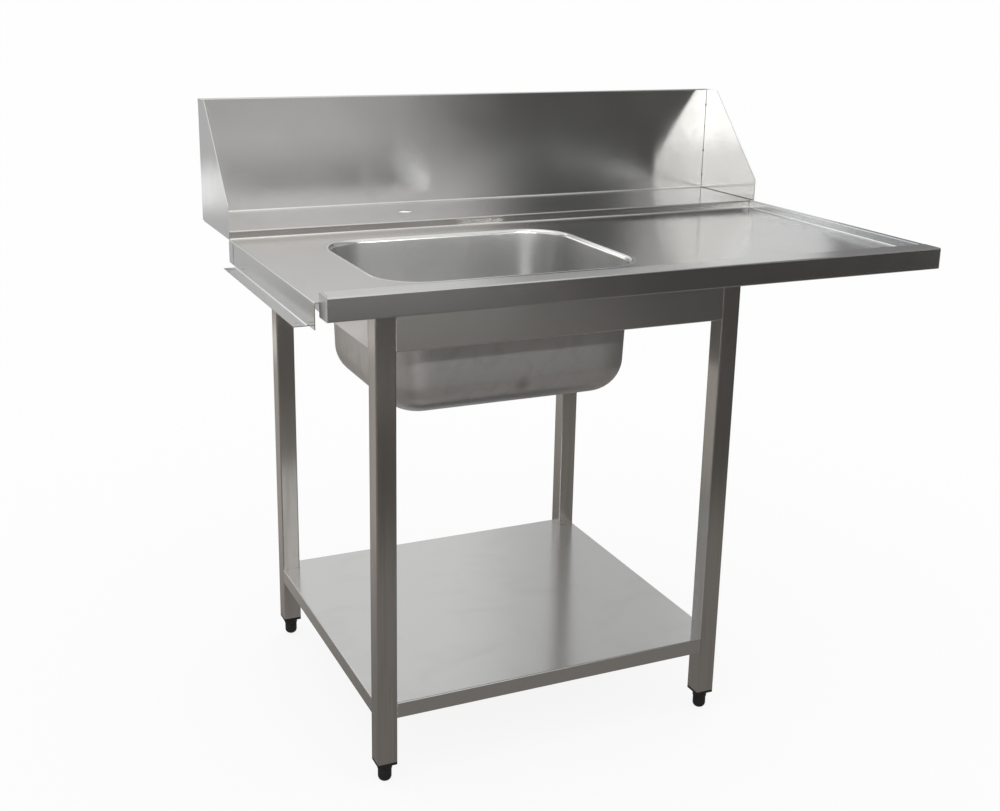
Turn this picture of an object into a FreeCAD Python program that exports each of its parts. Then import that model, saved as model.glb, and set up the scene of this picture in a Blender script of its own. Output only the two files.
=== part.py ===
import FreeCAD, Part
import math
import os

os.makedirs("parts", exist_ok=True)

# Stainless sink table with a pressed bowl, a sunk dish track, a ledge, a splashback and an under-shelf.
# Millimetres. +X runs along the front to the right, +Y to the back, +Z up.
# The origin is on the floor, under the middle of the table's outline.

# Sheet and tube stock
deck_sheet = 1.5
panel_sheet = 1.2
bowl_sheet = 1.2
bracket_sheet = 2.0
join_tolerance = 0.0001
bend_inside = 1.0
leg_tube = 35.0
leg_wall = 1.5
leg_corner = 2.5

# Worktop
worktop_length = 1180.0
rim_height = 865.0
track_width = 545.0
deck_sink = 16.0
front_rim_width = 42.0
front_rim_height = 39.0
front_rim_lip = 12.0
rim_end_setback = 8.0
right_rim_width = 13.0
ledge_width = 213.0
skirt_height = 43.0

# Splashback and its two cheeks
splash_rise = 227.0
splash_return = 12.0
splash_hem = 10.0
splash_tail = 14.0
cheek_top_width = 40.0
cheek_front_rise = 46.0

# Coupling flange at the left end
flange_reach = 22.0
flange_upright = 26.0
flange_front_gap = 36.0
flange_back_gap = 45.0
flange_hole_radius = 3.5
flange_hole_inset = 18.0

# Pressed bowl
bowl_length = 500.0
bowl_width = 400.0
bowl_depth = 250.0
bowl_left_land = 142.0
bowl_behind_middle = 2.5
bowl_corner_radius = 90.0
bowl_lip = 2.0
bowl_flare_radius = 8.0
bowl_base_radius = 60.0
bowl_base_radius_share = 0.95
bowl_draft_degrees = 2.0
bowl_fall = 6.0

# Tap hole in the ledge, with its notch against turning
tap_hole_radius = 14.0
tap_notch_width = 4.0
tap_notch_depth = 3.0

# Waste outlet
outlet_land = 4.5
outlet_hole_gap = 1.5
seat_margin = 5.0
seat_depth = 3.0
waste_flange_gap = 1.0
waste_flange_sheet = 2.0
waste_neck_radius = 25.0
waste_neck_wall = 4.0
waste_neck_gap = 0.7
waste_mouth_flare = 3.5
waste_mouth_depth = 8.0
gasket_thickness = 1.5
gasket_width = 10.0
gasket_gap = 1.5
lower_gasket_thickness = 3.0
waste_body_height = 28.0
waste_body_floor = 4.0
waste_tail_radius = 23.9
waste_tail_wall = 3.4
waste_tail_length = 24.0
grate_thickness = 2.0
grate_hole_radius = 3.0
grate_ring_radius = 12.0
grate_hole_count = 8
thread_gap = 0.1

# Lift-out stopper
stopper_gap = 0.4
stopper_seat_gap = 0.3
stopper_bottom_rise = 1.5
stopper_rim = 3.5
stopper_rim_height = 3.0
stopper_grip_radius = 8.0
stopper_neck_radius = 3.5
stopper_neck_height = 7.0
stopper_grip_height = 6.0

# Frame, which stands round the bowl
frame_before_bowl = 52.0
frame_past_bowl = 118.0
frame_behind_riser = 49.0
front_overhang = 20.0
apron_height = 84.0
apron_lip = 12.0
apron_flange = 35.0
stud_land = 23.0

# Shelf
shelf_height = 152.0
shelf_skirt = 29.0
shelf_lip = 10.0

# Hat-section stiffeners
channel_width = 60.0
channel_height = 24.0
channel_foot = 12.0
overhang_end_gap = 8.0
channel_end_gap = 2.0

# Leg plugs and screw feet
plug_plate = 5.0
plug_depth = 28.0
plug_gap = 0.15
collar_radius = 12.0
collar_height = 12.0
foot_radius = 11.2
foot_height = 23.0
foot_tip_radius = 5.0
foot_taper_height = 13.0
foot_shoulder_gap = 0.3
foot_shank_radius = 8.0
foot_shank_gap = 0.05
foot_shank_length = 38.0
collar_chamfer = 0.8

# Brackets that carry the ledge behind the rear legs
ledge_bracket_height = 110.0
ledge_bracket_nose = 15.0
ledge_bracket_flange = 30.0
ledge_bracket_gap = 4.0

# Fixings that hold the worktop to the frame
stud_radius = 3.0
stud_length = 16.0
stud_hole_gap = 0.5
nut_across_flats = 10.0
nut_height = 5.0
nut_gap = 0.1

# One overrun serves every through cut
overrun = 2.0

# Levels
deck_top = rim_height - deck_sink
deck_under = deck_top - deck_sheet
ledge_under = rim_height - deck_sheet
splash_top = rim_height + splash_rise
tube_bottom = plug_plate + collar_height + foot_height
apron_bottom = deck_under - apron_height
bowl_base = deck_top - bowl_depth + bowl_fall + seat_depth
seat_level = deck_top - bowl_depth

# Places along the length
overall_length = flange_reach + worktop_length
tip_x = -overall_length / 2
left_x = tip_x + flange_reach
right_x = overall_length / 2
rim_left_x = left_x + rim_end_setback
track_right_x = right_x - right_rim_width
bowl_left_x = left_x + bowl_left_land
bowl_x = bowl_left_x + bowl_length / 2
bowl_right_x = bowl_left_x + bowl_length
frame_left_x = bowl_left_x - frame_before_bowl
frame_right_x = bowl_right_x + frame_past_bowl

# Places across the depth
overall_depth = front_rim_width + track_width + ledge_width + splash_return
front_y = -overall_depth / 2
track_front_y = front_y + front_rim_width
track_back_y = track_front_y + track_width
splash_y = track_back_y + ledge_width
back_y = splash_y + splash_return
frame_front_y = front_y + front_overhang
frame_back_y = track_back_y + frame_behind_riser
bowl_y = (track_front_y + track_back_y) / 2 + bowl_behind_middle
ledge_middle_y = (track_back_y + splash_y) / 2
flange_front_y = track_front_y + flange_front_gap
flange_back_y = track_back_y - flange_back_gap

# Radii of the waste, from its neck outwards
waste_neck_bore = waste_neck_radius - waste_neck_wall
waste_mouth_radius = waste_neck_bore + waste_mouth_flare
waste_tail_bore = waste_tail_radius - waste_tail_wall
outlet_hole_radius = waste_neck_radius + outlet_hole_gap
gasket_inner = outlet_hole_radius + gasket_gap
gasket_outer = gasket_inner + gasket_width
seat_radius = gasket_outer + seat_margin
dish_radius = seat_radius + seat_depth
waste_flange_radius = seat_radius - waste_flange_gap

# How far the bowl's section lies inside the opening's edge
bowl_wall_inset = bowl_lip + bowl_flare_radius
bowl_foot_inset = bowl_wall_inset + (deck_top - bowl_base) * math.tan(math.radians(bowl_draft_degrees))
bowl_turn_reach = math.tan(math.radians(90 - bowl_draft_degrees) / 2)
bowl_foot_limit = bowl_base_radius_share * (bowl_corner_radius - bowl_foot_inset) / bowl_turn_reach
bowl_foot_radius = min(bowl_base_radius, bowl_foot_limit)
bowl_base_inset = bowl_foot_inset + bowl_foot_radius * bowl_turn_reach
outlet_y = bowl_y + bowl_width / 2 - bowl_base_inset - outlet_land - dish_radius

leg_corners = {
    "front_left": (frame_left_x, frame_front_y),
    "front_right": (frame_right_x - leg_tube, frame_front_y),
    "rear_left": (frame_left_x, frame_back_y - leg_tube),
    "rear_right": (frame_right_x - leg_tube, frame_back_y - leg_tube),
}

vector = FreeCAD.Vector
up = vector(0, 0, 1)
down = vector(0, 0, -1)


def stand(point, axis, at):
    """Lay a flat point in the plane square to an axis, at a distance along it."""
    u, v = point.x, point.y
    if axis == "x":
        return vector(at, u, v)
    if axis == "y":
        return vector(u, at, v)
    return vector(u, v, at)


def along(axis, length):
    """A vector of a given length along a row axis."""
    return stand(vector(0, 0, 0), axis, length)


def bend_points(before, here, after, radius):
    """Start, middle and end of the arc that rounds a corner."""
    run_in = (here - before).normalize()
    run_out = (after - here).normalize()
    half_turn = run_in.getAngle(run_out) / 2
    reach = radius * math.tan(half_turn)
    to_centre = (run_out - run_in).normalize()
    middle = here + to_centre * (radius / math.cos(half_turn) - radius)
    return here - run_in * reach, middle, here + run_out * reach


def outline(points, radii, axis, at):
    """A flat face inside a closed line, each corner rounded by its own radius."""
    flat = [vector(u, v, 0) for u, v in points]
    count = len(flat)
    corners = []
    for i, here in enumerate(flat):
        if radii[i] > 0:
            corners.append(bend_points(flat[i - 1], here, flat[(i + 1) % count], radii[i]))
        else:
            corners.append((here,))
    edges = []
    for i, corner in enumerate(corners):
        if len(corner) > 1:
            edges.append(Part.Arc(*[stand(p, axis, at) for p in corner]).toShape())
        start = stand(corner[-1], axis, at)
        end = stand(corners[(i + 1) % count][0], axis, at)
        if not start.isEqual(end, join_tolerance):
            edges.append(Part.makeLine(start, end))
    return Part.Face(Part.Wire(edges))


def prism(points, axis, at, length, radii=None):
    """A solid with a constant section along an axis."""
    return outline(points, radii or [0] * len(points), axis, at).extrude(along(axis, length))


def sheet_section(points, thickness, insides, axis, at):
    """Section of a folded sheet. The line runs along one face, and the sheet lies to its left."""
    line = [vector(u, v, 0) for u, v in points]
    runs = [(b - a).normalize() for a, b in zip(line, line[1:])]
    lefts = [vector(-run.y, run.x, 0) for run in runs]
    other = [line[0] + lefts[0] * thickness]
    for i in range(1, len(line) - 1):
        both = lefts[i - 1] + lefts[i]
        other.append(line[i] + both * (thickness / (1 + lefts[i - 1].dot(lefts[i]))))
    other.append(line[-1] + lefts[-1] * thickness)
    face_radii = [0]
    back_radii = [0]
    for i, inside in enumerate(insides):
        turns_left = runs[i].cross(runs[i + 1]).z > 0
        face_radii.append(inside + thickness if turns_left else inside)
        back_radii.append(inside if turns_left else inside + thickness)
    face_radii.append(0)
    back_radii.append(0)
    closed = [(p.x, p.y) for p in line + other[::-1]]
    return outline(closed, face_radii + back_radii[::-1], axis, at)


def folded(points, thickness, axis, at, length):
    """A sheet folded to a section and running along an axis."""
    insides = [bend_inside] * (len(points) - 2)
    return sheet_section(points, thickness, insides, axis, at).extrude(along(axis, length))


def rectangle(x0, y0, x1, y1):
    return [(x0, y0), (x1, y0), (x1, y1), (x0, y1)]


def block(x0, x1, y0, y1, z0, z1):
    return Part.makeBox(x1 - x0, y1 - y0, z1 - z0, vector(x0, y0, z0))


def rod(radius, x, y, z0, z1):
    return Part.makeCylinder(radius, z1 - z0, vector(x, y, z0))


def turned(points, x, y):
    """A solid of revolution about an upright axis, from (radius, height) points."""
    section = outline(points, [0] * len(points), "y", 0)
    solid = section.revolve(vector(0, 0, 0), up, 360)
    solid.translate(vector(x, y, 0))
    return solid


def joined(shapes):
    return shapes[0].multiFuse(shapes[1:]).removeSplitter()


# Worktop sheets

def make_deck():
    section = [(track_right_x, deck_top), (left_x, deck_top), (left_x, deck_top - skirt_height)]
    sheet = folded(section, deck_sheet, "y", track_front_y, track_width)
    corners = rectangle(bowl_left_x, bowl_y - bowl_width / 2, bowl_right_x, bowl_y + bowl_width / 2)
    opening = prism(corners, "z", deck_under - overrun, deck_sheet + 2 * overrun, [bowl_corner_radius] * 4)
    return sheet.cut(opening)


def make_front_rim():
    section = [(track_front_y, deck_under), (track_front_y, rim_height), (front_y, rim_height),
               (front_y, rim_height - front_rim_height),
               (front_y + front_rim_lip, rim_height - front_rim_height)]
    start = rim_left_x + panel_sheet
    return folded(section, deck_sheet, "x", start, right_x - panel_sheet - start)


def make_rim_cap(x):
    corners = rectangle(front_y, rim_height - front_rim_height, track_front_y, rim_height)
    outer = bend_inside + deck_sheet
    return prism(corners, "x", x, panel_sheet, [outer, 0, outer, outer])


def make_right_rim():
    section = [(right_x, rim_height - front_rim_height), (right_x, rim_height),
               (track_right_x, rim_height), (track_right_x, deck_under)]
    return folded(section, deck_sheet, "y", track_front_y, track_width)


def make_rear_ledge():
    section = [(splash_y, rim_height), (track_back_y, rim_height), (track_back_y, deck_under)]
    start = left_x + panel_sheet
    sheet = folded(section, deck_sheet, "x", start, right_x - panel_sheet - start)
    bottom = ledge_under - overrun
    top = rim_height + overrun
    hole = rod(tap_hole_radius, bowl_x, ledge_middle_y, bottom, top)
    half_notch = tap_notch_width / 2
    notch = block(bowl_x - half_notch, bowl_x + half_notch, ledge_middle_y,
                  ledge_middle_y + tap_hole_radius + tap_notch_depth, bottom, top)
    return sheet.cut(hole.fuse(notch))


def make_splashback():
    section = [(back_y, splash_top - splash_hem), (back_y, splash_top), (splash_y, splash_top),
               (splash_y, rim_height - splash_tail)]
    return folded(section, panel_sheet, "x", left_x, worktop_length)


def make_cheek(x):
    corners = [(track_back_y, deck_top), (splash_y, deck_top), (splash_y, splash_top),
               (splash_y - cheek_top_width, splash_top), (track_back_y, rim_height + cheek_front_rise)]
    return prism(corners, "x", x, panel_sheet)


def make_coupling_flange():
    level = deck_top - skirt_height - bend_inside
    upright_x = left_x + deck_sheet
    section = [(upright_x, level + flange_upright), (upright_x, level), (tip_x, level)]
    flange = folded(section, panel_sheet, "y", flange_front_y, flange_back_y - flange_front_y)
    x = (tip_x + left_x) / 2
    for y in (flange_front_y + flange_hole_inset, flange_back_y - flange_hole_inset):
        flange = flange.cut(rod(flange_hole_radius, x, y, level - panel_sheet - overrun, level + overrun))
    return flange


# Pressed bowl

def make_bowl_walls():
    """Four walls and four corners, each from the base up and out over the flare to the opening's edge."""
    points = [(bowl_base_inset, bowl_base), (bowl_foot_inset, bowl_base), (bowl_wall_inset, deck_top),
              (0, deck_top)]
    insides = [bowl_foot_radius, bowl_flare_radius - bowl_sheet]
    pieces = []
    for i in range(4):
        reach, half_run = (bowl_length / 2, bowl_width / 2) if i % 2 == 0 else (bowl_width / 2, bowl_length / 2)
        straight = half_run - bowl_corner_radius
        placed = [(inset - reach, z) for inset, z in points]
        section = sheet_section(placed, bowl_sheet, insides, "y", -straight)
        wall = section.extrude(vector(0, 2 * straight, 0))
        corner = section.revolve(vector(bowl_corner_radius - reach, -straight, 0), up, 90)
        for shape in (wall, corner):
            shape.rotate(vector(0, 0, 0), up, 90 * i)
            shape.translate(vector(bowl_x, bowl_y, 0))
            pieces.append(shape)
    return pieces


def ring_wire(corners, middles, z):
    """A closed wire of eight edges. An edge with no middle point is straight."""
    edges = []
    for i, middle in enumerate(middles):
        start = vector(*corners[i], z)
        end = vector(*corners[(i + 1) % len(corners)], z)
        if middle:
            edges.append(Part.Arc(start, vector(*middle, z), end).toShape())
        else:
            edges.append(Part.makeLine(start, end))
    return Part.Wire(edges)


def base_edge_wire():
    """Outline of the flat base, where the bowl's walls end."""
    half_x = bowl_length / 2 - bowl_base_inset
    half_y = bowl_width / 2 - bowl_base_inset
    corner = bowl_corner_radius - bowl_base_inset
    run_x = half_x - corner
    run_y = half_y - corner
    corners = [(-run_x, -half_y), (run_x, -half_y), (half_x, -run_y), (half_x, run_y),
               (run_x, half_y), (-run_x, half_y), (-half_x, run_y), (-half_x, -run_y)]
    bulge = corner * math.sqrt(0.5)
    middles = [None, (run_x + bulge, -run_y - bulge), None, (run_x + bulge, run_y + bulge),
               None, (-run_x - bulge, run_y + bulge), None, (-run_x - bulge, -run_y - bulge)]
    return ring_wire(corners, middles, bowl_base)


def dish_edge_wire(radius, centre_y, z):
    """The round edge of the outlet's dish, in eight arcs that match the base's eight edges."""
    degrees = [-115, -65, -25, 25, 65, 115, 155, 205]
    corners = []
    middles = []
    for i, angle in enumerate(degrees):
        after = degrees[(i + 1) % len(degrees)]
        if after < angle:
            after += 360
        for angle_here, found in ((angle, corners), ((angle + after) / 2, middles)):
            turn = math.radians(angle_here)
            found.append((radius * math.cos(turn), centre_y + radius * math.sin(turn)))
    return ring_wire(corners, middles, z)


def make_bowl_base():
    """The base falls gently to the outlet's dish and its flat seat."""
    centre_y = outlet_y - bowl_y
    edge = base_edge_wire()
    dish = dish_edge_wire(dish_radius, centre_y, seat_level + seat_depth)
    fall = Part.makeLoft([edge, dish], True, True)
    seat = Part.makeCone(seat_radius, dish_radius, seat_depth, vector(0, centre_y, seat_level))
    space = fall.fuse(seat)
    under = space.copy()
    under.translate(down * bowl_sheet)
    slab = Part.Face(edge).extrude(down * bowl_sheet)
    hole = rod(outlet_hole_radius, 0, centre_y, seat_level - bowl_sheet - overrun, seat_level + overrun)
    base = slab.fuse(under).cut(space).cut(hole)
    base.translate(vector(bowl_x, bowl_y, 0))
    return base


def make_bowl():
    return joined(make_bowl_walls() + [make_bowl_base()])


# Waste outlet, on one upright axis

gasket_top = seat_level + gasket_thickness
waste_flange_top = gasket_top + waste_flange_sheet
mouth_bottom = waste_flange_top - waste_mouth_depth
bowl_under = seat_level - bowl_sheet
lower_gasket_under = bowl_under - lower_gasket_thickness
waste_body_under = lower_gasket_under - waste_body_height
waste_floor = waste_body_under + waste_body_floor
waste_neck_under = waste_floor + grate_thickness + waste_neck_gap
tail_end = waste_body_under - waste_tail_length


def make_gasket(bottom, thickness):
    return turned(rectangle(gasket_inner, bottom, gasket_outer, bottom + thickness), bowl_x, outlet_y)


def make_waste_flange():
    section = [(waste_neck_bore, waste_neck_under), (waste_neck_radius, waste_neck_under),
               (waste_neck_radius, gasket_top), (waste_flange_radius, gasket_top),
               (waste_flange_radius - waste_flange_sheet / 2, waste_flange_top),
               (waste_mouth_radius, waste_flange_top), (waste_neck_bore, mouth_bottom)]
    return turned(section, bowl_x, outlet_y)


def make_waste_body():
    section = [(waste_tail_bore, tail_end), (waste_tail_radius, tail_end), (waste_tail_radius, waste_body_under),
               (gasket_outer, waste_body_under), (gasket_outer, lower_gasket_under),
               (waste_neck_radius + thread_gap, lower_gasket_under),
               (waste_neck_radius + thread_gap, waste_floor), (waste_tail_bore, waste_floor)]
    return turned(section, bowl_x, outlet_y)


def make_waste_grate():
    disc = rod(waste_neck_radius, bowl_x, outlet_y, waste_floor, waste_floor + grate_thickness)
    low, high = waste_floor - overrun, waste_floor + grate_thickness + overrun
    holes = [rod(grate_hole_radius, bowl_x, outlet_y, low, high)]
    for i in range(grate_hole_count):
        turn = 2 * math.pi * i / grate_hole_count
        x = bowl_x + grate_ring_radius * math.cos(turn)
        y = outlet_y + grate_ring_radius * math.sin(turn)
        holes.append(rod(grate_hole_radius, x, y, low, high))
    return disc.cut(Part.makeCompound(holes))


stopper_underside = waste_flange_top + stopper_seat_gap
stopper_top = stopper_underside + stopper_rim_height


def make_stopper():
    bottom = mouth_bottom + stopper_bottom_rise
    taper = (waste_mouth_radius - waste_neck_bore) / waste_mouth_depth
    bottom_radius = waste_neck_bore + stopper_bottom_rise * taper - stopper_gap
    section = [(0, bottom), (bottom_radius, bottom), (waste_mouth_radius - stopper_gap, stopper_underside),
               (waste_mouth_radius + stopper_rim, stopper_underside),
               (waste_mouth_radius + stopper_rim, stopper_top - stopper_rim_height / 3),
               (waste_mouth_radius + stopper_rim * 2 / 3, stopper_top), (0, stopper_top)]
    return turned(section, bowl_x, outlet_y)


def make_stopper_grip():
    neck_top = stopper_top + stopper_neck_height
    grip_top = neck_top + stopper_grip_height
    edge = stopper_grip_height / 3
    section = [(0, stopper_top), (stopper_neck_radius, stopper_top), (stopper_neck_radius, neck_top),
               (stopper_grip_radius - edge, neck_top), (stopper_grip_radius, neck_top + edge),
               (stopper_grip_radius, grip_top - edge), (stopper_grip_radius - edge, grip_top), (0, grip_top)]
    return turned(section, bowl_x, outlet_y)


# Legs and feet

def square(x, y, size, inset, corner, bottom, height):
    """An upright square bar, inset from a tube's outline that starts at x, y."""
    corners = rectangle(x + inset, y + inset, x + size - inset, y + size - inset)
    return prism(corners, "z", bottom, height, [corner] * 4)


def make_leg(x, y, top):
    outer = square(x, y, leg_tube, 0, leg_corner, tube_bottom, top - tube_bottom)
    inner = square(x, y, leg_tube, leg_wall, leg_corner - leg_wall, tube_bottom - overrun,
                   top - tube_bottom + 2 * overrun)
    return outer.cut(inner)


def make_plug(x, y):
    middle_x, middle_y = x + leg_tube / 2, y + leg_tube / 2
    plate = square(x, y, leg_tube, 0, leg_corner, tube_bottom - plug_plate, plug_plate)
    core = square(x, y, leg_tube, leg_wall + plug_gap, leg_corner - leg_wall, tube_bottom - plug_plate / 2,
                  plug_depth + plug_plate / 2)
    collar_bottom = tube_bottom - plug_plate - collar_height
    wide = collar_radius - collar_chamfer
    collar = turned([(0, collar_bottom), (wide, collar_bottom), (collar_radius, collar_bottom + collar_chamfer),
                     (collar_radius, tube_bottom - plug_plate / 2), (0, tube_bottom - plug_plate / 2)],
                    middle_x, middle_y)
    bore = rod(foot_shank_radius + foot_shank_gap, middle_x, middle_y, collar_bottom - overrun,
               tube_bottom + plug_depth + overrun)
    return joined([plate, core, collar]).cut(bore)


def make_foot(x, y):
    """A screw foot with a bullet-shaped head. Its head narrows to a small flat tip on the floor."""
    shoulder = foot_height - foot_shoulder_gap
    bulge_share = 0.42
    bulge_radius = foot_radius - (foot_radius - foot_tip_radius) * bulge_share / 2
    bulge_height = foot_taper_height * bulge_share
    points = [vector(0, 0, 0), vector(foot_tip_radius, 0, 0), vector(foot_radius, 0, foot_taper_height),
              vector(foot_radius, 0, shoulder), vector(foot_shank_radius, 0, shoulder),
              vector(foot_shank_radius, 0, shoulder + foot_shank_length),
              vector(0, 0, shoulder + foot_shank_length)]
    edges = [Part.makeLine(points[0], points[1]),
             Part.Arc(points[1], vector(bulge_radius, 0, bulge_height), points[2]).toShape()]
    edges += [Part.makeLine(a, b) for a, b in zip(points[2:], points[3:] + points[:1])]
    foot = Part.Face(Part.Wire(edges)).revolve(vector(0, 0, 0), up, 360)
    foot.translate(vector(x + leg_tube / 2, y + leg_tube / 2, 0))
    return foot


# Aprons between the legs

front_flange = front_rim_width - front_overhang + stud_land
leg_inner_x = (frame_left_x + leg_tube, frame_right_x - leg_tube)
leg_inner_y = (frame_front_y + leg_tube, frame_back_y - leg_tube)


def apron_section(outer, inward, top, flange):
    """Top flange, face and lower lip, with the sheet on the inner side."""
    line = [(outer + inward * flange, top), (outer, top), (outer, apron_bottom),
            (outer + inward * apron_lip, apron_bottom)]
    return line if inward > 0 else line[::-1]


def between(ends, share):
    return ends[0] + (ends[1] - ends[0]) * share


def stud_places():
    """Where the worktop's studs hang: x, y and the level of the sheet that carries them."""
    end_shares = (0.12, 0.88)
    front_stud_y = frame_front_y + front_flange - stud_land / 2
    back_stud_y = frame_back_y - apron_flange / 2
    places = []
    for share in end_shares:
        x = between(leg_inner_x, share)
        y = between(leg_inner_y, share)
        places.append((x, front_stud_y, deck_under))
        places.append((x, back_stud_y, ledge_under))
        places.append((frame_left_x + apron_flange / 2, y, deck_under))
        places.append((frame_right_x - apron_flange / 2, y, deck_under))
    return places


def drilled(apron):
    """Cut the stud holes that this apron's top flange carries."""
    radius = stud_radius + stud_hole_gap
    holes = [rod(radius, x, y, level - panel_sheet - overrun, level + overrun) for x, y, level in stud_places()]
    return apron.cut(Part.makeCompound(holes))


def make_apron(side):
    run_x = leg_inner_x[1] - leg_inner_x[0]
    run_y = leg_inner_y[1] - leg_inner_y[0]
    if side == "front":
        line = apron_section(frame_front_y, 1, deck_under, front_flange)
        apron = folded(line, panel_sheet, "x", leg_inner_x[0], run_x)
    elif side == "rear":
        line = apron_section(frame_back_y, -1, ledge_under, apron_flange)
        apron = folded(line, panel_sheet, "x", leg_inner_x[0], run_x)
    elif side == "left":
        line = apron_section(frame_left_x, 1, deck_under, apron_flange)
        apron = folded(line, panel_sheet, "y", leg_inner_y[0], run_y)
    else:
        line = apron_section(frame_right_x, -1, deck_under, apron_flange)
        apron = folded(line, panel_sheet, "y", leg_inner_y[0], run_y)
    return drilled(apron)


def make_studs():
    return Part.makeCompound([rod(stud_radius, x, y, level - stud_length, level) for x, y, level in stud_places()])


def make_nuts():
    corner_radius = nut_across_flats / math.sqrt(3)
    nuts = []
    for x, y, level in stud_places():
        top = level - panel_sheet
        turns = [math.radians(60 * i) for i in range(6)]
        hexagon = [(x + corner_radius * math.cos(t), y + corner_radius * math.sin(t)) for t in turns]
        nut = prism(hexagon, "z", top - nut_height, nut_height)
        nuts.append(nut.cut(rod(stud_radius + nut_gap, x, y, top - nut_height - overrun, top + overrun)))
    return Part.makeCompound(nuts)


# Shelf and stiffeners

def tray_section(low, high):
    """Lips, skirts and top of the shelf across one direction, with the sheet on the inner side."""
    skirt_bottom = shelf_height - shelf_skirt
    return [(high - shelf_lip, skirt_bottom), (high, skirt_bottom), (high, shelf_height),
            (low, shelf_height), (low, skirt_bottom), (low + shelf_lip, skirt_bottom)]


def make_shelf():
    """Two folded strips that cross leave a notch at each leg."""
    across = folded(tray_section(frame_left_x, frame_right_x), panel_sheet, "y", leg_inner_y[0],
                    leg_inner_y[1] - leg_inner_y[0])
    deep = folded(tray_section(frame_front_y, frame_back_y), panel_sheet, "x", leg_inner_x[0],
                  leg_inner_x[1] - leg_inner_x[0])
    return joined([across, deep])


def make_hat(y, level, x0, x1):
    """A hat-section channel whose two feet lie under a sheet."""
    outer = channel_width / 2
    inner = outer - channel_foot
    low = level - channel_height
    section = [(y + outer, level), (y + inner, level), (y + inner, low), (y - inner, low),
               (y - inner, level), (y - outer, level)]
    return folded(section, panel_sheet, "x", x0, x1 - x0)


def make_ledge_bracket(x):
    """A gusset behind a rear leg, with a flange under the ledge."""
    nose_y = splash_y - ledge_bracket_gap
    low = ledge_under - ledge_bracket_height
    middle_x = x + leg_tube / 2
    corners = [(frame_back_y, low), (nose_y, ledge_under - ledge_bracket_nose), (nose_y, ledge_under),
               (frame_back_y, ledge_under)]
    web = prism(corners, "x", middle_x - bracket_sheet / 2, bracket_sheet)
    flange = block(middle_x - ledge_bracket_flange / 2, middle_x + ledge_bracket_flange / 2,
                   frame_back_y, nose_y, ledge_under - bracket_sheet, ledge_under)
    return joined([web, flange])


def make_pieces():
    pieces = {
        "deck": make_deck(),
        "front_rim": make_front_rim(),
        "front_rim_left_cap": make_rim_cap(rim_left_x),
        "front_rim_right_cap": make_rim_cap(right_x - panel_sheet),
        "right_rim": make_right_rim(),
        "rear_ledge": make_rear_ledge(),
        "splashback": make_splashback(),
        "left_cheek": make_cheek(left_x),
        "right_cheek": make_cheek(right_x - panel_sheet),
        "coupling_flange": make_coupling_flange(),
        "bowl": make_bowl(),
        "waste_top_gasket": make_gasket(seat_level, gasket_thickness),
        "waste_lower_gasket": make_gasket(lower_gasket_under, lower_gasket_thickness),
        "waste_flange": make_waste_flange(),
        "waste_body": make_waste_body(),
        "waste_grate": make_waste_grate(),
        "waste_stopper": make_stopper(),
        "stopper_grip": make_stopper_grip(),
        "shelf": make_shelf(),
        "fixing_studs": make_studs(),
        "fixing_nuts": make_nuts(),
    }
    for corner, (x, y) in leg_corners.items():
        top = deck_under if corner.startswith("front") else ledge_under
        pieces["leg_" + corner] = make_leg(x, y, top)
        pieces["leg_plug_" + corner] = make_plug(x, y)
        pieces["foot_" + corner] = make_foot(x, y)
        if corner.startswith("rear"):
            pieces["ledge_bracket_" + corner.split("_")[1]] = make_ledge_bracket(x)
    for side in ("front", "rear", "left", "right"):
        pieces["apron_" + side] = make_apron(side)
    shelf_under = shelf_height - panel_sheet
    channel_inset = panel_sheet + channel_end_gap
    pieces["shelf_channel"] = make_hat(between(leg_inner_y, 0.5), shelf_under, frame_left_x + channel_inset,
                                       frame_right_x - channel_inset)
    overhang_shares = {"front": 0.2, "rear": 0.8}
    for name, share in overhang_shares.items():
        y = between((track_front_y, track_back_y), share)
        pieces["overhang_channel_" + name] = make_hat(y, deck_under, frame_right_x, track_right_x - overhang_end_gap)
    return pieces


for name, shape in make_pieces().items():
    shape.exportStep("parts/" + name + ".step")
    print(name, len(shape.Solids), round(shape.Volume), shape.isValid())
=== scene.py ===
import bmesh
import bpy
import math
from mathutils import Matrix, Vector


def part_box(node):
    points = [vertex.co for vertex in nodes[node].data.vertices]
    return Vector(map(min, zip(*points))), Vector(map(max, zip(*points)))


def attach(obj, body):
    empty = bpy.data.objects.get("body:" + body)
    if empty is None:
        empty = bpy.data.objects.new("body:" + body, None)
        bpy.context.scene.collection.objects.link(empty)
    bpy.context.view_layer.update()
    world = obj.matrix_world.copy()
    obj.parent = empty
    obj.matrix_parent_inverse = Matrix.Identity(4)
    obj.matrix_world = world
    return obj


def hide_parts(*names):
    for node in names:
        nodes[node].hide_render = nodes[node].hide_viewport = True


print("loading the table's frame")
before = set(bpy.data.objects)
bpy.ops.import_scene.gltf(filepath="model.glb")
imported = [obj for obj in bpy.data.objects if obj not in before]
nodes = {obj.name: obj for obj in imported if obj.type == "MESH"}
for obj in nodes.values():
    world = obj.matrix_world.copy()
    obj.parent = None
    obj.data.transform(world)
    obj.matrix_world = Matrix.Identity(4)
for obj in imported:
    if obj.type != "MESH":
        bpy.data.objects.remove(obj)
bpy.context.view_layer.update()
scene = bpy.context.scene
scene.view_settings.view_transform = "Standard"
mm = 0.001
white = (1.0, 1.0, 1.0, 1.0)


# An sRGB hex colour as the linear values that sockets take
def linearColour(hexColour):
    channels = []
    for i in (0, 2, 4):
        c = int(hexColour[i:i + 2], 16) / 255
        channels.append(c / 12.92 if c <= 0.04045 else ((c + 0.055) / 1.055) ** 2.4)
    return (*channels, 1.0)


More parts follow.
